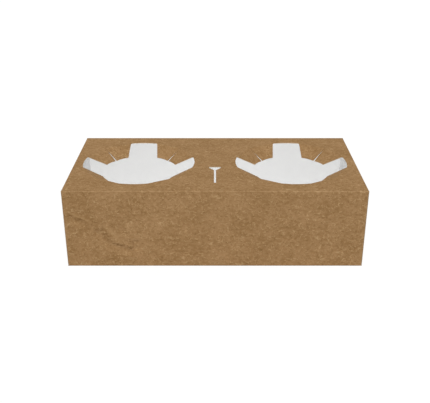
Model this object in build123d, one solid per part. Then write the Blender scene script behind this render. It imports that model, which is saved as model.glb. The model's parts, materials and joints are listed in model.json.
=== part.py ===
from build123d import *
import os
from math import cos, radians, sin, sqrt, tan

# Cup carrier: one sheet of board, die-cut, creased, folded and glued into a closed box.
# Two openings in the top panel are ringed by flaps that lean down to grip a cup, and a
# slot with a funnel mouth lies between them. All lengths are in millimetres, and angles
# in degrees. The origin is the middle of the base, with X along the carrier, Y towards
# its back and Z up.

# Outside of the folded carrier
carrier_length = 215.0
carrier_depth = 110.0
carrier_height = 60.0

# Board, the outside of its creased folds, and the notch at each corner of the blank
board = 0.45
fold_radius = 0.8
corner_notch = 0.15

# Cup openings: each is a ring of flaps, parted by wide reliefs and by a slit midway between them
cup_pitch = 116.5
flap_ring_diameter = 85.0
opening_diameter = 54.6
relief_width = 21.4
relief_count = 4
slit_width = 0.1
flap_tilt = 29.6

# Slot between the cups: a funnel mouth that narrows to a straight stem
funnel_setback = 10.2
funnel_width = 11.2
funnel_length = 6.1
stem_width = 1.4
stem_length = 23.5

# Glued seam: the back panel's flap lies on the base, inside
glue_flap_width = 15.0
glue_flap_chamfer = 9.0

# Glued ends: the base's flap inside, then two dust flaps, then the top's end panel outside
base_flap_height = 30.0
dust_flap_gap = 18.0
dust_flap_chamfer = 9.0
dust_flap_relief = 0.2
end_panel_clearance = 0.3
end_corner_radius = 2.0

# How far a cutter runs past the board that it cuts
overrun = 1.0

# Places on the box that follow from the sizes above
half_board = board / 2
half_length = carrier_length / 2
half_depth = carrier_depth / 2
half_flat_depth = half_depth - fold_radius
middle_of_base = half_board
middle_of_top = carrier_height - half_board
middle_of_back = half_depth - half_board
dust_flap_face = half_length - board
base_flap_face = dust_flap_face - board
tube_end = base_flap_face - fold_radius - corner_notch
corner_end = half_length - corner_notch
dust_flap_low = board + fold_radius + dust_flap_relief
dust_flap_high = carrier_height - fold_radius - dust_flap_relief

# Places in a cup opening, seen from above about its own centre, with a relief along X
ring_radius = flap_ring_diameter / 2
half_relief = relief_width / 2
half_slit = slit_width / 2
relief_turns = [Rot(0, 0, turn * 360 / relief_count) for turn in range(relief_count)]
slit_angle = radians(180 / relief_count)


def folded_board(*middle_points):
    """Section of a strip of board along its middle line, bent round each corner."""
    middle_line = FilletPolyline(*middle_points, radius=fold_radius - half_board)
    return trace(middle_line, line_width=board)


def past_creases():
    """What is cut from the right end of the tube, so that only its folds run on into the corners."""
    length = half_length - tube_end
    middle = tube_end + length / 2
    window_height = dust_flap_high - dust_flap_low + 2 * dust_flap_relief
    past_top_and_base = Box(length, 2 * (half_flat_depth + corner_notch), carrier_height + 2 * overrun)
    past_front_and_back = Box(length, carrier_depth + 2 * overrun, window_height)
    return (
        Pos(middle, 0, carrier_height / 2) * past_top_and_base
        + Pos(middle, 0, (dust_flap_low + dust_flap_high) / 2) * past_front_and_back
    )


def tube():
    """Base, front, top and back panels folded round into a tube, glued along the lower back edge."""
    halfway_up_back = (middle_of_back, carrier_height / 2)
    panels = folded_board(
        (half_flat_depth, middle_of_base),
        (-middle_of_back, middle_of_base),
        (-middle_of_back, middle_of_top),
        (middle_of_back, middle_of_top),
        halfway_up_back,
    )
    seam = folded_board(
        halfway_up_back,
        (middle_of_back, middle_of_base + board),
        (half_depth - glue_flap_width, middle_of_base + board),
    )
    right_cutter = past_creases()
    sleeve = extrude(Plane.YZ * panels, amount=corner_end, both=True)
    sleeve -= right_cutter + mirror(right_cutter, about=Plane.YZ)
    glue_flap = extrude(Plane.YZ * seam, amount=tube_end, both=True)
    glue_flap_corners = glue_flap.edges().filter_by(Axis.Z).group_by(Axis.Y)[0]
    return sleeve + chamfer(glue_flap_corners, length=glue_flap_chamfer)


def end_flap(outer_face, root_height, tip_height):
    """Flap across the right end, folded from the base or top panel whose middle is at root_height."""
    middle_of_flap = outer_face - half_board
    strip = folded_board(
        (tube_end, root_height),
        (middle_of_flap, root_height),
        (middle_of_flap, tip_height),
    )
    flap = extrude(Plane.XZ * strip, amount=half_flat_depth, both=True)
    edges_from_tip = flap.edges().filter_by(Axis.X).group_by(lambda edge: abs(edge.center().Z - tip_height))
    return fillet(edges_from_tip[0], radius=end_corner_radius)


def dust_flap():
    """Flap folded in across the right end from the front panel."""
    middle_of_flap = dust_flap_face - half_board
    strip = folded_board(
        (tube_end, -middle_of_back),
        (middle_of_flap, -middle_of_back),
        (middle_of_flap, -dust_flap_gap / 2),
    )
    flap = Pos(0, 0, dust_flap_low) * extrude(strip, amount=dust_flap_high - dust_flap_low)
    tip_corners = flap.edges().filter_by(Axis.X).group_by(Axis.Y)[-1]
    return chamfer(tip_corners, length=dust_flap_chamfer)


def closed_end():
    """The right end: each flap lies on the one folded before it, and the end panel covers them all."""
    base_flap = end_flap(base_flap_face, middle_of_base, base_flap_height)
    front_dust_flap = dust_flap()
    back_dust_flap = mirror(front_dust_flap, about=Plane.XZ)
    end_panel = end_flap(half_length, middle_of_top, end_panel_clearance)
    return base_flap + front_dust_flap + back_dust_flap + end_panel


def ring_point_beside_slit(offset):
    """Point of the ring at an offset from the slit's middle line, towards the relief along X."""
    reach = sqrt(ring_radius**2 - offset**2)
    return (
        reach * cos(slit_angle) + offset * sin(slit_angle),
        reach * sin(slit_angle) - offset * cos(slit_angle),
    )


def hinge_line():
    """Fold line of one flap, from the relief along X to the slit beside it."""
    return Line((sqrt(ring_radius**2 - half_relief**2), half_relief), ring_point_beside_slit(half_slit))


def ring_outline():
    """What is cut from the top panel: an arc across each relief, and straight hinges up to each slit."""
    hinge = hinge_line()
    hinge_before = mirror(hinge, about=Plane.XZ)
    relief_end = ThreePointArc(hinge_before @ 0, (ring_radius, 0), hinge @ 0)
    slit_end = Line(hinge @ 1, ring_point_beside_slit(-half_slit))
    repeated = (hinge_before, relief_end, hinge, slit_end)
    return make_face([turn * edge for turn in relief_turns for edge in repeated])


def leaning_flap():
    """Flap between the relief along X and the slit beside it, turned down about its hinge."""
    hinge = hinge_line()
    apex = ((half_relief + half_slit / cos(slit_angle)) / tan(slit_angle), half_relief)
    blank = make_face(Polyline(apex, hinge @ 0, hinge @ 1, close=True)) - Circle(opening_diameter / 2)
    return extrude(blank, amount=-board).rotate(Axis(hinge @ 0, hinge % 0), -flap_tilt)


def ring_of_flaps():
    """All leaning flaps of an opening: one on each side of every relief."""
    flap = leaning_flap()
    pair = (flap, mirror(flap, about=Plane.XZ))
    return [turn * half for turn in relief_turns for half in pair]


def slot_outline():
    """Funnel and stem, seen from above."""
    mouth = -funnel_setback
    neck = mouth - funnel_length
    stem_end = neck - stem_length
    right_side = Polyline(
        (0, mouth),
        (funnel_width / 2, mouth),
        (stem_width / 2, neck),
        (stem_width / 2, stem_end),
        (0, stem_end),
    )
    return make_face([right_side, mirror(right_side, about=Plane.YZ)])


def through_board(outline):
    """Cutter of the outline, through a panel whose outer face the outline lies on."""
    return extrude(outline, amount=board + overrun, both=True)


def cup_carrier():
    """The whole folded sheet."""
    right_end = closed_end()
    carrier = tube() + right_end + mirror(right_end, about=Plane.YZ)
    carrier -= Pos(0, 0, carrier_height) * through_board(slot_outline())
    opening = through_board(ring_outline())
    flaps = ring_of_flaps()
    for side in (-1, 1):
        place = Pos(side * cup_pitch / 2, 0, carrier_height)
        carrier -= place * opening
        carrier += [place * flap for flap in flaps]
    return carrier


os.makedirs("parts", exist_ok=True)
export_step(cup_carrier(), "parts/cup_carrier.step")
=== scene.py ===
import json
import math
from collections import namedtuple

import bmesh
import bpy
from mathutils import Matrix, Vector, noise


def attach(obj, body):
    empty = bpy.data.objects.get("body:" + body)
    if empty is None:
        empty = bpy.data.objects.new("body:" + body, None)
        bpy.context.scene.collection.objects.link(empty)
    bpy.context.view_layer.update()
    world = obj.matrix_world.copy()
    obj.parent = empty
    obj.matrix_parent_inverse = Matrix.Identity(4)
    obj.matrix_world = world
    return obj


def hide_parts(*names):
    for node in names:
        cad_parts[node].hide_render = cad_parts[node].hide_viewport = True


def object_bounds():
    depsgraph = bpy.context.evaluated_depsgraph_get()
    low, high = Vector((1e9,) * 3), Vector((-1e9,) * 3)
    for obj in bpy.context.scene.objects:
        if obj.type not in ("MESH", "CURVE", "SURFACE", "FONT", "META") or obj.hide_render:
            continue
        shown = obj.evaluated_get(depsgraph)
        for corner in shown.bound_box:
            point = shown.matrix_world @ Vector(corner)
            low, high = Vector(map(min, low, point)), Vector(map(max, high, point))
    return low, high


# Cup carrier: one sheet of kraft board with a white lining, folded and glued into a closed box.
# The sheet is modelled as the skin of its outer face, which a modifier then gives the board's
# thickness. All lengths are in metres, angles in degrees, and colours are linear.

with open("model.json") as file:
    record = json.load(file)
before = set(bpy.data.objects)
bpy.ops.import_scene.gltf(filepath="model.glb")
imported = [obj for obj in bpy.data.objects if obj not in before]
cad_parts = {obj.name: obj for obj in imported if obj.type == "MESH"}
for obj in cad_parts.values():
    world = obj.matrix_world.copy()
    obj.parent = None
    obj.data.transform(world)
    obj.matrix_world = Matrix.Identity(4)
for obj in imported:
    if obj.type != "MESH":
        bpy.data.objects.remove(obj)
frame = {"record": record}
cad_low, cad_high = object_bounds()

# Outside of the folded carrier and the middle of each cup opening, from the frame
half_length = cad_high.x
half_depth = cad_high.y
carrier_height = cad_high.z
cup_middles = [Vector(mount["pos_m"]).xy for mount in frame["record"]["mounts"] if "cup" in mount["name"]]

# Board, the outside of its creased folds, the notch at each corner of the blank, and the glue between layers
board = 0.00045
fold_radius = 0.0008
fold_steps = 8
corner_notch = 0.00015
glue_line = 0.00001

# Cup openings: each is a ring of flaps, parted by wide reliefs and by a slit midway between them
ring_radius = 0.0425
opening_radius = 0.0273
half_relief = 0.0107
half_slit = 0.00005
relief_count = 4
flap_tilt = 29.6
flap_rows = 4
flap_columns = 12

# Slot between the cups: a funnel mouth that narrows to a straight stem
funnel_setback = 0.0102
funnel_width = 0.0112
funnel_length = 0.0061
stem_width = 0.0014
stem_length = 0.0235

# Glued seam and glued ends
glue_flap_width = 0.015
glue_flap_chamfer = 0.009
base_flap_height = 0.030
dust_flap_gap = 0.018
dust_flap_chamfer = 0.009
dust_flap_relief = 0.0002
end_panel_clearance = 0.0003
end_corner_radius = 0.002
corner_steps = 6

# Handling creases in the front panel. Each has its two ends along X and Z, its share of the full depth, its
# share of the painted highlight on the ridge beside it, and half the width of its flank. The board is pushed
# in on the right of the way from start to end. The ridge is on the left, and a shallow hollow lies past it.
Crease = namedtuple("Crease", "start end depth_share ridge_share half_width")
creases = [
    Crease(Vector((-0.1050, 0.0422)), Vector((-0.0890, 0.0343)), 0.8, 0.9, 0.0016),
    Crease(Vector((-0.0960, 0.0385)), Vector((-0.0800, 0.0262)), 0.2, 0.0, 0.0020),
    Crease(Vector((-0.0838, 0.0325)), Vector((-0.0712, 0.0171)), 0.9, 0.6, 0.0042),
    Crease(Vector((-0.0800, 0.0218)), Vector((-0.0560, 0.0125)), 1.0, 0.3, 0.0020),
    Crease(Vector((-0.0595, 0.0115)), Vector((-0.0592, 0.0225)), 0.9, 0.0, 0.0012),
    Crease(Vector((-0.0700, 0.0345)), Vector((-0.0590, 0.0255)), 0.4, 0.5, 0.0020),
]

# Profile of every crease: its full depth, where its pushed-in side is level again, where its ridge ends as a
# share of the half width, its hollow, how far its line wanders, and the share of its length that fades out
crease_depth = 0.0010
crease_return = 0.0080
crease_ridge_end_share = 2.0
crease_hollow_share = 0.4
crease_hollow_middle = 0.0040
crease_hollow_end = 0.0090
crease_wander = 0.0007
crease_wander_size = 0.004
crease_fade_share = 0.25

# Patch of the front panel that is finely divided for the creases, and the border over which they fade out
creased_low = Vector((-0.1050, 0.0030))
creased_high = Vector((-0.0500, 0.0500))
creased_step = 0.0008
creased_border = 0.0030

# Points of the sheet that are closer than this are one point
weld_distance = 0.000001

# Places on the box that follow from the sizes above
half_flat_depth = half_depth - fold_radius
dust_flap_face = half_length - board - glue_line
base_flap_face = dust_flap_face - board - glue_line
tube_end = half_length - board - board - fold_radius - corner_notch
corner_end = half_length - corner_notch
glue_flap_level = board + glue_line
dust_flap_low = board + fold_radius + dust_flap_relief
dust_flap_high = carrier_height - fold_radius - dust_flap_relief
window_low = dust_flap_low - dust_flap_relief
window_high = dust_flap_high + dust_flap_relief
slit_angle = math.pi / relief_count

# Paper of all kinds: its gloss, and the middle of the noises that vary it, which go from 0 to 1
paper_gloss = 0.03
noise_middle = 0.5

# Kinds of detail in paper. A grain is a noise of a feature size. Strands are contour lines of a noise, with
# the size of their curls, how far the noise may be from its middle on their line, and the level of a second
# noise above which they show. A bump is how strongly and how far a height stands out.
Grain = namedtuple("Grain", "size detail roughness distortion", defaults=(0.0, 0.5, 0.0))
Strands = namedtuple("Strands", "size line_share patch_share")
Bump = namedtuple("Bump", "strength distance")
strand_curl = 0.8
patch_size_share = 1.1
patch_border_share = 0.06

# Numbers of the mix node's sockets for colours, because its other sockets have the same names
mix_share = 0
mix_under = 6
mix_over = 7
mix_result = 2

# Kraft outside: its brown, drawn out a little along the carrier, with clouds, mottling and a fine tooth
kraft_roughness = 0.85
kraft_dark = (0.263, 0.147, 0.057, 1.0)
kraft_light = (0.412, 0.249, 0.119, 1.0)
grain_stretch = (0.85, 1.0, 1.0)
kraft_clouds = Grain(0.016, detail=2.0)
kraft_mottle = Grain(0.0018, detail=5.0, roughness=0.62)
kraft_tooth = Grain(0.0003, detail=2.0)
cloud_contrast = 0.8
mottle_contrast = 1.96
tooth_contrast = 0.38
mottle_height_share = 1.0
tooth_height_share = 0.6
fibre_height_share = 0.5
kraft_bump = Bump(0.5, 0.0001)

# What lies over the brown: specks, light fibres each with a painted shadow beside it, a few longer threads,
# wear and a painted highlight on the folds, and painted shade and highlight along the creases. The wear with
# its highlight and the painted crease shade follow the mottling, over ranges from where they are absent to
# full.
# Dark of the specks, also used for the painted shadow beside each fibre and the painted shade along the
# creases
kraft_speck_and_shade = (0.190, 0.100, 0.036, 1.0)
# Light of the fibres, also used for the painted highlight on the creases' ridges
kraft_fibre_and_highlight = (0.520, 0.335, 0.165, 1.0)
kraft_thread = (0.600, 0.410, 0.215, 1.0)
# Light of the worn folds, which also serves as a painted highlight along their crests
kraft_worn_and_highlight = (0.480, 0.330, 0.190, 1.0)
fibre_strands = Strands(0.0018, line_share=0.08, patch_share=0.50)
thread_strands = Strands(0.0038, line_share=0.045, patch_share=0.58)
fibre_shadow_offset = (0.0, -0.0004, 0.0005)
speck_spacing = 0.004
speck_reach_share = 0.13
speck_chance_range = (0.45, 0.75)
fold_wear_and_highlight_range = (0.1, 0.6)
crease_shade_range = (0.65, 0.3)
speck_share = 0.5
fibre_shadow_share = 0.58
fibre_share = 0.62
thread_share = 0.42
fold_wear_and_highlight_share = 0.2
crease_shade_share = 0.85
ridge_highlight_share = 0.5

# White lining inside
lining_roughness = 0.6
lining_dark = (0.803, 0.803, 0.800, 1.0)
lining_light = (0.862, 0.862, 0.858, 1.0)
lining_clouds = Grain(0.006, detail=3.0, roughness=0.6)
lining_tooth = Grain(0.0004, detail=2.0)
lining_cloud_contrast = 0.8
lining_tooth_contrast = 0.5
lining_bump = Bump(0.3, 0.00005)

# Raw core at the cut edges, with painted shade where another edge is within reach and shuts off part of its
# view
core_roughness = 0.9
core_dark = (0.640, 0.540, 0.420, 1.0)
core_light = (0.820, 0.740, 0.620, 1.0)
core_slit_shade = (0.330, 0.205, 0.100, 1.0)
core_grain = Grain(0.0005, detail=3.0, roughness=0.7)
core_bump = Bump(0.4, 0.0001)
slit_reach = 0.0012
open_view_range = (0.85, 1.0)

# Studio: even light from all round, a white floor and backdrop, and a soft key lamp from the front and above
# with two weak fills. Each lamp has the way that its light goes, and a lamp of strength 1 lights a white
# surface that faces it to white.
white = (1.0, 1.0, 1.0, 1.0)
ambient_strength = 0.455
backdrop_strength = 1.0
floor_half_size = 6.0
floor_bounce = (0.75, 0.75, 0.75, 1.0)
floor_glow = 0.84
floor_shadow_share = (0.2, 0.2, 0.2, 1.0)
lamp_angle = 20.0
Lamp = namedtuple("Lamp", "name direction strength")
lamps = [
    Lamp("key", Vector((0.080, 0.560, -0.825)), 0.60),
    Lamp("back_fill", Vector((0.0, -1.0, 0.0)), 0.06),
    Lamp("right_fill", Vector((-1.0, 0.0, 0.0)), 0.05),
]

# Camera: where the photograph was taken from, and its lens
camera_place = (0.0, -0.4897, 0.2546)
camera_pitch = 24.97
camera_lens = 57.36
sensor_width = 36.0


def rectangle(left, right, low, high):
    """Corners of a rectangle, anticlockwise from the lower left."""
    return [(left, low), (right, low), (right, high), (left, high)]


def add_loop(sheet, points):
    """Edges of a closed loop through the points."""
    corners = [sheet.verts.new(point) for point in points]
    return [sheet.edges.new(pair) for pair in zip(corners, corners[1:] + corners[:1])]


def add_faces(sheet, rows, smooth=False):
    """Faces between rows of vertices."""
    for row, next_row in zip(rows, rows[1:]):
        for corners in zip(row, row[1:], next_row[1:], next_row):
            sheet.faces.new(corners).smooth = smooth


def fold_path(*corners):
    """Points along straight runs, each square corner rounded as a fold, with how far each is into a fold."""
    corners = [Vector(corner) for corner in corners]
    path = [(corners[0], 0.0)]
    for before, corner, after in zip(corners, corners[1:], corners[2:]):
        arriving = (corner - before).normalized()
        leaving = (after - corner).normalized()
        if arriving.dot(leaving) > 0:
            path.append((corner, 0.0))
            continue
        for step in range(fold_steps + 1):
            turn = math.radians(90) * step / fold_steps
            from_corner = arriving * (math.sin(turn) - 1) + leaving * (1 - math.cos(turn))
            path.append((corner + from_corner * fold_radius, math.sin(2 * turn)))
    path.append((corners[-1], 0.0))
    spaced = path[:1]
    for point, weight in path[1:]:
        if (point - spaced[-1][0]).length > weld_distance:
            spaced.append((point, weight))
    return spaced


def square_tip():
    """Tip of a strip that is cut straight across: (distance from the tip, inset of both sides) pairs."""
    return [(0.0, 0.0)]


def chamfered_tip(size):
    """Tip of a strip with cut corners."""
    return [(size, 0.0), (0.0, size)]


def rounded_tip(radius):
    """Tip of a strip with rounded corners."""
    turns = [math.radians(90) * step / corner_steps for step in range(corner_steps + 1)]
    return [(radius * (1 - math.sin(turn)), radius * (1 - math.cos(turn))) for turn in turns]


def add_strip(sheet, path, tip, low, high, place):
    """Skin of a strip of board along a path, from low to high across it, with its tip cut to shape."""
    fold = sheet.verts.layers.float["fold"]
    tip_point = path[-1][0]
    back_along_path = (path[-2][0] - tip_point).normalized()
    rows = [(point, weight, 0.0) for point, weight in path[:-1]]
    rows += [(tip_point + back_along_path * distance, 0.0, inset) for distance, inset in tip]
    last_row = None
    for point, weight, inset in rows:
        row = [sheet.verts.new(place(point, across)) for across in (low + inset, high - inset)]
        for vertex in row:
            vertex[fold] = weight
        if last_row:
            sheet.faces.new((*last_row, *reversed(row)))
        last_row = row


def add_tube(sheet):
    """Base and back panels, the folds to the front and top panels, and the flap that is glued to the base."""
    def place(point, across):
        return (across, point.x, point.y)

    base_and_lower_front = fold_path(
        (half_flat_depth, 0.0),
        (-half_depth, 0.0),
        (-half_depth, window_low),
        (-half_depth, dust_flap_low),
    )
    upper_front = fold_path(
        (-half_depth, dust_flap_high),
        (-half_depth, carrier_height),
        (-half_flat_depth, carrier_height),
    )
    back_and_seam = fold_path(
        (half_flat_depth, carrier_height),
        (half_depth, carrier_height),
        (half_depth, dust_flap_high),
        (half_depth, dust_flap_low),
        (half_depth, glue_flap_level),
        (half_depth - glue_flap_width, glue_flap_level),
    )
    for path in (base_and_lower_front, upper_front):
        add_strip(sheet, path, square_tip(), -tube_end, tube_end, place)
    add_strip(sheet, back_and_seam, chamfered_tip(glue_flap_chamfer), -tube_end, tube_end, place)


def smooth_step(value, first, last):
    """Smoothly from 0 to 1 as the value goes from first to last."""
    share = min(max((value - first) / (last - first), 0.0), 1.0)
    return share * share * (3 - 2 * share)


def hump(share):
    """From 0 up to 1 and back to 0, as the share goes from 0 to 1."""
    return 4 * share * (1 - share)


def crease_shape_and_painted_light(crease, point, wander):
    """One crease at a point of the front panel: its depth, its painted shade on the flank and its painted
    highlight on the ridge, as shares.
    """
    along = crease.end - crease.start
    left_side = Vector((-along.y, along.x)).normalized()
    aside = (point - crease.start).dot(left_side) + wander
    run = (point - crease.start).dot(along) / along.length_squared
    strength = smooth_step(run, 0.0, crease_fade_share) * smooth_step(run, 1.0, 1 - crease_fade_share)
    strength *= crease.depth_share
    flank = crease.half_width
    down = smooth_step(aside, flank, -flank)
    drop = down * smooth_step(aside, -crease_return, -flank)
    hollow = smooth_step(aside, -flank, crease_hollow_middle)
    hollow *= smooth_step(aside, crease_hollow_end, crease_hollow_middle)
    ridge = smooth_step(aside, 0.0, flank) * smooth_step(aside, crease_ridge_end_share * flank, flank)
    # The depth, then painted shade on the flank where the board goes in, then a painted highlight on the
    # ridge
    return (
        strength * (drop + crease_hollow_share * hollow),
        strength * hump(down),
        strength * crease.ridge_share * ridge,
    )


def crease_at(point):
    """How far the creases push the front panel in at a point, and their painted shading: painted shade above
    0, painted highlight below.
    """
    wander = crease_wander * noise.noise((point / crease_wander_size).to_3d())
    depths, crease_shades, ridge_highlights = zip(*(crease_shape_and_painted_light(crease, point, wander) for crease in creases))
    to_border = min(*(point - creased_low), *(creased_high - point))
    depth = crease_depth * max(depths) * smooth_step(to_border, 0.0, creased_border)
    return depth, max(crease_shades) - max(ridge_highlights)


def equal_steps(low, high, step):
    """Places from low to high, about a step apart."""
    count = round((high - low) / step)
    return [low + (high - low) * index / count for index in range(count + 1)]


def add_front_panel(sheet):
    """Front panel: a finely divided patch with the handling creases, and flat board round it."""
    crease = sheet.verts.layers.float["crease"]

    def vertex_at(x, z):
        depth, painted_shading = crease_at(Vector((x, z)))
        vertex = sheet.verts.new((x, depth - half_depth, z))
        # The point holds the creases' painted shade and highlight
        vertex[crease] = painted_shading
        return vertex

    columns = equal_steps(creased_low.x, creased_high.x, creased_step)
    levels = equal_steps(creased_low.y, creased_high.y, creased_step)
    rows = [[vertex_at(x, z) for x in columns] for z in levels]
    add_faces(sheet, rows, smooth=True)
    right_side = [row[-1] for row in rows[1:-1]]
    left_side = [row[0] for row in reversed(rows[1:-1])]
    rim = rows[0] + right_side + rows[-1][::-1] + left_side
    edges = [sheet.edges.get(pair) for pair in zip(rim, rim[1:] + rim[:1])]
    outline = rectangle(-tube_end, tube_end, dust_flap_low, dust_flap_high)
    edges += add_loop(sheet, [(x, -half_depth, z) for x, z in outline])
    bmesh.ops.triangle_fill(sheet, edges=edges, use_beauty=True)


def add_corner_folds(sheet, side):
    """Ends of the tube's folds at one side, where they run on past the panels into the corners."""
    def place(point, across):
        return (side * across, point.x, point.y)

    lower_front = fold_path((-half_flat_depth, 0.0), (-half_depth, 0.0), (-half_depth, window_low))
    upper_front = fold_path(
        (-half_flat_depth, carrier_height), (-half_depth, carrier_height), (-half_depth, window_high)
    )
    upper_back = fold_path(
        (half_flat_depth, carrier_height), (half_depth, carrier_height), (half_depth, window_high)
    )
    for path in (lower_front, upper_front, upper_back):
        outer_part = [entry for entry in path if abs(entry[0].x) > half_flat_depth + corner_notch]
        add_strip(sheet, outer_part, square_tip(), tube_end, corner_end, place)


def add_end(sheet, side):
    """The closed end at one side: the base's flap inside, then two dust flaps, then the end panel."""
    def place_upright(point, across):
        return (side * point.x, across, point.y)

    def place_sideways(point, across):
        return (side * point.x, point.y, across)

    base_flap = fold_path((tube_end, 0.0), (base_flap_face, 0.0), (base_flap_face, base_flap_height))
    end_panel = fold_path(
        (tube_end, carrier_height), (half_length, carrier_height), (half_length, end_panel_clearance)
    )
    tip = rounded_tip(end_corner_radius)
    for path in (base_flap, end_panel):
        add_strip(sheet, path, tip, -half_flat_depth, half_flat_depth, place_upright)

    tip = chamfered_tip(dust_flap_chamfer)
    for face in (-1, 1):
        dust_flap = fold_path(
            (tube_end, face * half_depth),
            (dust_flap_face, face * half_depth),
            (dust_flap_face, face * dust_flap_gap / 2),
        )
        add_strip(sheet, dust_flap, tip, dust_flap_low, dust_flap_high, place_sideways)


def point_beside_slit(radius):
    """Point at a radius on the edge of the slit, on the side of the relief along X."""
    reach = math.sqrt(radius**2 - half_slit**2)
    along = Vector((math.cos(slit_angle), math.sin(slit_angle)))
    across = Vector((math.sin(slit_angle), -math.cos(slit_angle)))
    return along * reach + across * half_slit


def point_beside_relief(radius):
    """Point at a radius on the edge of the relief along X."""
    return Vector((math.sqrt(radius**2 - half_relief**2), half_relief))


def between(start, end, steps):
    """Points at equal steps along a line, both ends included."""
    return [start.lerp(end, step / steps) for step in range(steps + 1)]


def round_middle(start, end, steps):
    """Points at equal turns along the arc about the origin between two points on it."""
    radius = start.length
    first = math.atan2(start.y, start.x)
    last = math.atan2(end.y, end.x)
    turns = [first + (last - first) * step / steps for step in range(steps + 1)]
    return [Vector((radius * math.cos(turn), radius * math.sin(turn))) for turn in turns]


def mirrored(points):
    """The points as seen in a mirror along X, in the opposite order."""
    return [Vector((point.x, -point.y)) for point in reversed(points)]


def relief_turns():
    """One turn of the plan for each relief of an opening."""
    return [Matrix.Rotation(turn * 2 * math.pi / relief_count, 2) for turn in range(relief_count)]


def hinge_line():
    """Points along the fold line of one flap, from the relief along X to the slit beside it."""
    return between(point_beside_relief(ring_radius), point_beside_slit(ring_radius), flap_columns)


def ring_outline():
    """What is cut from the top panel: an arc across each relief, and straight hinges up to each slit."""
    hinge = hinge_line()
    relief_end = round_middle(mirrored(hinge)[-1], hinge[0], flap_columns)
    repeated = mirrored(hinge) + relief_end[1:-1] + hinge
    return [turn @ point for turn in relief_turns() for point in repeated]


def slot_outline():
    """Funnel and stem, seen from above."""
    mouth = -funnel_setback
    neck = mouth - funnel_length
    stem_end = neck - stem_length
    left_side = [
        Vector((-funnel_width / 2, mouth)),
        Vector((-stem_width / 2, neck)),
        Vector((-stem_width / 2, stem_end)),
    ]
    right_side = [Vector((-point.x, point.y)) for point in reversed(left_side)]
    return left_side + right_side


def add_top_panel(sheet):
    """Top panel, with the cup openings and the slot cut out of it."""
    outline = rectangle(-tube_end, tube_end, -half_flat_depth, half_flat_depth)
    rings = [[middle + point for point in ring_outline()] for middle in cup_middles]
    edges = []
    for loop in (outline, slot_outline(), *rings):
        edges += add_loop(sheet, [(x, y, carrier_height) for x, y in loop])
    bmesh.ops.triangle_fill(sheet, edges=edges, use_beauty=True)


def flap_grid():
    """Rows of points over the flap beside the relief along X, leaning down from its hinge at height zero."""
    hinge = hinge_line()
    tip = round_middle(point_beside_relief(opening_radius), point_beside_slit(opening_radius), flap_columns)
    hinge_start = hinge[0].to_3d()
    hinge_axis = hinge[-1].to_3d() - hinge_start
    lean = (
        Matrix.Translation(hinge_start)
        @ Matrix.Rotation(math.radians(-flap_tilt), 4, hinge_axis)
        @ Matrix.Translation(-hinge_start)
    )
    columns = [between(root, end, flap_rows) for root, end in zip(hinge, tip)]
    return [[lean @ point.to_3d() for point in row] for row in zip(*columns)]


def add_flaps(sheet, middle):
    """Ring of leaning flaps about the middle of an opening: one on each side of every relief."""
    right_way = flap_grid()
    other_way = [[Vector((point.x, -point.y, point.z)) for point in row] for row in right_way]
    hinge_middle = Vector((middle.x, middle.y, carrier_height))
    for turn in relief_turns():
        for grid in (right_way, other_way):
            rows = [[sheet.verts.new(hinge_middle + turn.to_4x4() @ point) for point in row] for row in grid]
            add_faces(sheet, rows)


def board_skin():
    """Mesh of the whole sheet's outer face, facing outwards, with its folds and the creases' painted shading
    as point values.
    """
    sheet = bmesh.new()
    for layer in ("fold", "crease"):
        sheet.verts.layers.float.new(layer)
    add_tube(sheet)
    add_front_panel(sheet)
    for side in (-1, 1):
        add_corner_folds(sheet, side)
        add_end(sheet, side)
    add_top_panel(sheet)
    for middle in cup_middles:
        add_flaps(sheet, middle)
    bmesh.ops.remove_doubles(sheet, verts=sheet.verts, dist=weld_distance)
    bmesh.ops.recalc_face_normals(sheet, faces=sheet.faces)
    skin = bpy.data.meshes.new("carrier_board")
    sheet.to_mesh(skin)
    sheet.free()
    return skin


def add_node(tree, kind, inputs=None, **settings):
    """A new node with its settings, and its inputs joined to other nodes' sockets or set to plain values."""
    node = tree.nodes.new(kind)
    for name, value in settings.items():
        setattr(node, name, value)
    for name, value in (inputs or {}).items():
        if isinstance(value, bpy.types.NodeSocket):
            tree.links.new(value, node.inputs[name])
        else:
            node.inputs[name].default_value = value
    return node


def new_material(name, roughness):
    """Matt paper material: itself, its nodes, its shader, and the place on the object."""
    material = bpy.data.materials.new(name)
    material.use_nodes = True
    tree = material.node_tree
    shader = tree.nodes["Principled BSDF"]
    shader.inputs["Specular IOR Level"].default_value = paper_gloss
    shader.inputs["Roughness"].default_value = roughness
    place = add_node(tree, "ShaderNodeTexCoord").outputs["Object"]
    return material, tree, shader, place


def dress(tree, shader, colour, height, bump):
    """Gives a shader its colour, and bumps its surface by a height."""
    tree.links.new(colour, shader.inputs["Base Color"])
    bumps = add_node(
        tree, "ShaderNodeBump", {"Height": height, "Strength": bump.strength, "Distance": bump.distance}
    )
    tree.links.new(bumps.outputs["Normal"], shader.inputs["Normal"])


def mapped(tree, place, change, amount):
    """The place after a change, which is Location or Scale."""
    return add_node(tree, "ShaderNodeMapping", {"Vector": place, change: amount}).outputs["Vector"]


def point_value(tree, name):
    """What the points of the mesh hold under a name."""
    return add_node(tree, "ShaderNodeAttribute", attribute_name=name).outputs["Fac"]


def grain(tree, place, kind):
    """Noise of a kind of grain, from 0 to 1."""
    texture = add_node(
        tree,
        "ShaderNodeTexNoise",
        {
            "Vector": place,
            "Scale": 1 / kind.size,
            "Detail": kind.detail,
            "Roughness": kind.roughness,
            "Distortion": kind.distortion,
        },
    )
    return texture.outputs["Fac"]


def calculate(tree, operation, *values):
    """Result of a sum on sockets and plain numbers."""
    return add_node(tree, "ShaderNodeMath", dict(enumerate(values)), operation=operation).outputs["Value"]


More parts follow.
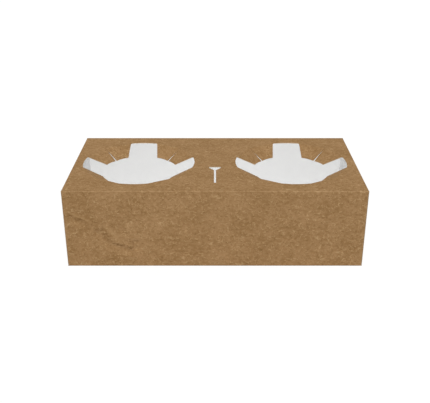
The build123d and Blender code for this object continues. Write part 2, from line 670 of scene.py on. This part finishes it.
def fade(tree, value, first, last):
    """Smooth step from 0 where the value is first to 1 where it is last, whichever of them is lower."""
    low, high = min(first, last), max(first, last)
    ends = (0.0, 1.0) if first < last else (1.0, 0.0)
    return add_node(
        tree,
        "ShaderNodeMapRange",
        {"Value": value, "From Min": low, "From Max": high, "To Min": ends[0], "To Max": ends[1]},
        interpolation_type="SMOOTHSTEP",
    ).outputs["Result"]


def blend(tree, share, under, over):
    """Colour that goes from under to over as the share goes from 0 to 1, and stays under below 0."""
    colours = {mix_share: share, mix_under: under, mix_over: over}
    return add_node(tree, "ShaderNodeMix", colours, data_type="RGBA").outputs[mix_result]


def layered(tree, layers):
    """Sum of the swings of layers about their middle, each with its weight."""
    total = noise_middle
    for layer, weight in layers:
        swing = calculate(tree, "SUBTRACT", layer, noise_middle)
        total = calculate(tree, "MULTIPLY_ADD", swing, weight, total)
    return total


def strands(tree, place, kind):
    """Thin curled fibres of a kind: the contour line of a noise, broken up by another."""
    curl = grain(tree, place, Grain(kind.size, distortion=strand_curl))
    off_line = calculate(tree, "ABSOLUTE", calculate(tree, "SUBTRACT", curl, noise_middle))
    line = fade(tree, off_line, kind.line_share, 0.0)
    cover = grain(tree, place, Grain(kind.size * patch_size_share))
    patches = fade(tree, cover, kind.patch_share, kind.patch_share + patch_border_share)
    return calculate(tree, "MULTIPLY", line, patches)


def specks(tree, place):
    """Small round specks of differing strength, in about half of all cells."""
    cells = add_node(tree, "ShaderNodeTexVoronoi", {"Vector": place, "Scale": 1 / speck_spacing})
    dot = fade(tree, cells.outputs["Distance"], speck_reach_share, speck_reach_share / 2)
    chance = add_node(tree, "ShaderNodeSeparateColor", {"Color": cells.outputs["Color"]}).outputs["Red"]
    return calculate(tree, "MULTIPLY", dot, fade(tree, chance, *speck_chance_range))


def kraft_material():
    """Uncoated kraft: mottled brown with specks, curled fibres with painted shadows, threads, worn folds with
    a painted highlight, and creases with painted shade and highlight.
    """
    material, tree, shader, place = new_material("kraft_outside", kraft_roughness)
    along = mapped(tree, place, "Scale", grain_stretch)
    clouds = grain(tree, along, kraft_clouds)
    mottle = grain(tree, along, kraft_mottle)
    tooth = grain(tree, place, kraft_tooth)
    tone = layered(tree, [(clouds, cloud_contrast), (mottle, mottle_contrast), (tooth, tooth_contrast)])
    colour = blend(tree, tone, kraft_dark, kraft_light)
    # Painted shadow beside each fibre: the same strands, moved aside and darkened
    fibre_shadows = strands(tree, mapped(tree, along, "Location", fibre_shadow_offset), fibre_strands)
    fibres = strands(tree, along, fibre_strands)
    threads = strands(tree, along, thread_strands)
    # Wear and a painted highlight, strongest midway round each fold and following the mottling
    fold_wear_and_highlight = calculate(tree, "MULTIPLY", point_value(tree, "fold"), fade(tree, mottle, *fold_wear_and_highlight_range))
    crease = point_value(tree, "crease")
    # Painted shade along the creases' flanks, following the mottling, and a painted highlight on their ridges
    crease_painted_shade = calculate(tree, "MULTIPLY", crease, fade(tree, mottle, *crease_shade_range))
    ridge_painted_highlight = calculate(tree, "MULTIPLY", crease, -1.0)
    overlays = [
        (specks(tree, place), speck_share, kraft_speck_and_shade),
        (fibre_shadows, fibre_shadow_share, kraft_speck_and_shade),
        (fibres, fibre_share, kraft_fibre_and_highlight),
        (threads, thread_share, kraft_thread),
        (fold_wear_and_highlight, fold_wear_and_highlight_share, kraft_worn_and_highlight),
        (crease_painted_shade, crease_shade_share, kraft_speck_and_shade),
        (ridge_painted_highlight, ridge_highlight_share, kraft_fibre_and_highlight),
    ]
    for overlay, share, over in overlays:
        colour = blend(tree, calculate(tree, "MULTIPLY", overlay, share), colour, over)
    heights = [(mottle, mottle_height_share), (tooth, tooth_height_share), (fibres, fibre_height_share)]
    dress(tree, shader, colour, layered(tree, heights), kraft_bump)
    return material


def lining_material():
    """Smooth white lining with a faint cloudiness."""
    material, tree, shader, place = new_material("white_lining", lining_roughness)
    clouds = grain(tree, place, lining_clouds)
    tooth = grain(tree, place, lining_tooth)
    tone = layered(tree, [(clouds, lining_cloud_contrast), (tooth, lining_tooth_contrast)])
    dress(tree, shader, blend(tree, tone, lining_dark, lining_light), tooth, lining_bump)
    return material


def core_material():
    """Pale raw core of the board at its cut edges, with a fine grain, and painted shade in narrow slits."""
    material, tree, shader, place = new_material("board_core", core_roughness)
    fine = grain(tree, place, core_grain)
    # Painted shade: ambient occlusion darkens the core where another edge lies within reach, as in narrow
    # slits
    open_view = add_node(tree, "ShaderNodeAmbientOcclusion", {"Distance": slit_reach}).outputs["AO"]
    pale = blend(tree, fine, core_dark, core_light)
    colour = blend(tree, fade(tree, open_view, *open_view_range), core_slit_shade, pale)
    dress(tree, shader, colour, fine, core_bump)
    return material


def add_carrier():
    """The folded sheet with its thickness: kraft outside, white lining inside, and core at its cut edges."""
    carrier = bpy.data.objects.new("carrier_board", board_skin())
    bpy.context.scene.collection.objects.link(carrier)
    for material in (kraft_material(), lining_material(), core_material()):
        carrier.data.materials.append(material)
    thickness = carrier.modifiers.new("board_thickness", "SOLIDIFY")
    thickness.thickness = board
    thickness.offset = -1
    thickness.use_even_offset = True
    # The inner face takes the next material, and the rim the one after that
    thickness.material_offset = 1
    thickness.material_offset_rim = 2
    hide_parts("cup_carrier")
    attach(carrier, "root")


def shown_as(tree, lighting, picture):
    """Shader that lights the scene as one shader, and is seen as another, also in gloss and through glass."""
    path = add_node(tree, "ShaderNodeLightPath")
    seen = path.outputs["Is Camera Ray"]
    for ray in ("Is Glossy Ray", "Is Transmission Ray"):
        seen = calculate(tree, "MAXIMUM", seen, path.outputs[ray])
    mix = add_node(
        tree, "ShaderNodeMixShader", {"Fac": seen, 1: lighting.outputs[0], 2: picture.outputs[0]}
    )
    return mix.outputs["Shader"]


def add_world():
    """Even soft light from all round, and a white backdrop."""
    world = bpy.data.worlds.new("studio")
    world.use_nodes = True
    tree = world.node_tree
    tree.nodes.clear()
    ambient = add_node(tree, "ShaderNodeBackground", {"Color": white, "Strength": ambient_strength})
    backdrop = add_node(tree, "ShaderNodeBackground", {"Color": white, "Strength": backdrop_strength})
    add_node(tree, "ShaderNodeOutputWorld", {"Surface": shown_as(tree, ambient, backdrop)})
    bpy.context.scene.world = world


def floor_material():
    """White that bounces light as pale ground does, and shows only a faint shadow."""
    material = bpy.data.materials.new("floor")
    material.use_nodes = True
    tree = material.node_tree
    tree.nodes.clear()
    bounce = add_node(tree, "ShaderNodeBsdfDiffuse", {"Color": floor_bounce})
    glow = add_node(tree, "ShaderNodeEmission", {"Color": white, "Strength": floor_glow})
    shadow = add_node(tree, "ShaderNodeBsdfDiffuse", {"Color": floor_shadow_share})
    picture = add_node(tree, "ShaderNodeAddShader", {0: glow.outputs[0], 1: shadow.outputs[0]})
    add_node(tree, "ShaderNodeOutputMaterial", {"Surface": shown_as(tree, bounce, picture)})
    return material


def add_floor():
    """Floor that the carrier stands on."""
    outline = rectangle(-floor_half_size, floor_half_size, -floor_half_size, floor_half_size)
    mesh = bpy.data.meshes.new("floor")
    mesh.from_pydata([(x, y, 0.0) for x, y in outline], [], [range(len(outline))])
    mesh.materials.append(floor_material())
    floor = bpy.data.objects.new("floor", mesh)
    bpy.context.scene.collection.objects.link(floor)


def add_lamp(name, direction, strength):
    """Even light along a direction that casts no shadow, so that it reaches inside the carrier too."""
    data = bpy.data.lights.new(name, "SUN")
    data.energy = strength * math.pi
    data.angle = math.radians(lamp_angle)
    data.use_shadow = False
    lamp = bpy.data.objects.new(name, data)
    lamp.rotation_euler = direction.to_track_quat("-Z", "Y").to_euler()
    bpy.context.scene.collection.objects.link(lamp)


def add_camera():
    """Camera at the photograph's viewpoint."""
    data = bpy.data.cameras.new("camera")
    data.sensor_fit = "HORIZONTAL"
    data.sensor_width = sensor_width
    data.lens = camera_lens
    camera = bpy.data.objects.new("camera", data)
    camera.location = camera_place
    camera.rotation_euler = (math.radians(90 - camera_pitch), 0.0, 0.0)
    bpy.context.scene.collection.objects.link(camera)
    bpy.context.scene.camera = camera


add_camera()
add_carrier()
add_floor()
add_world()
for lamp in lamps:
    add_lamp(*lamp)
bpy.context.scene.view_settings.view_transform = "Standard"
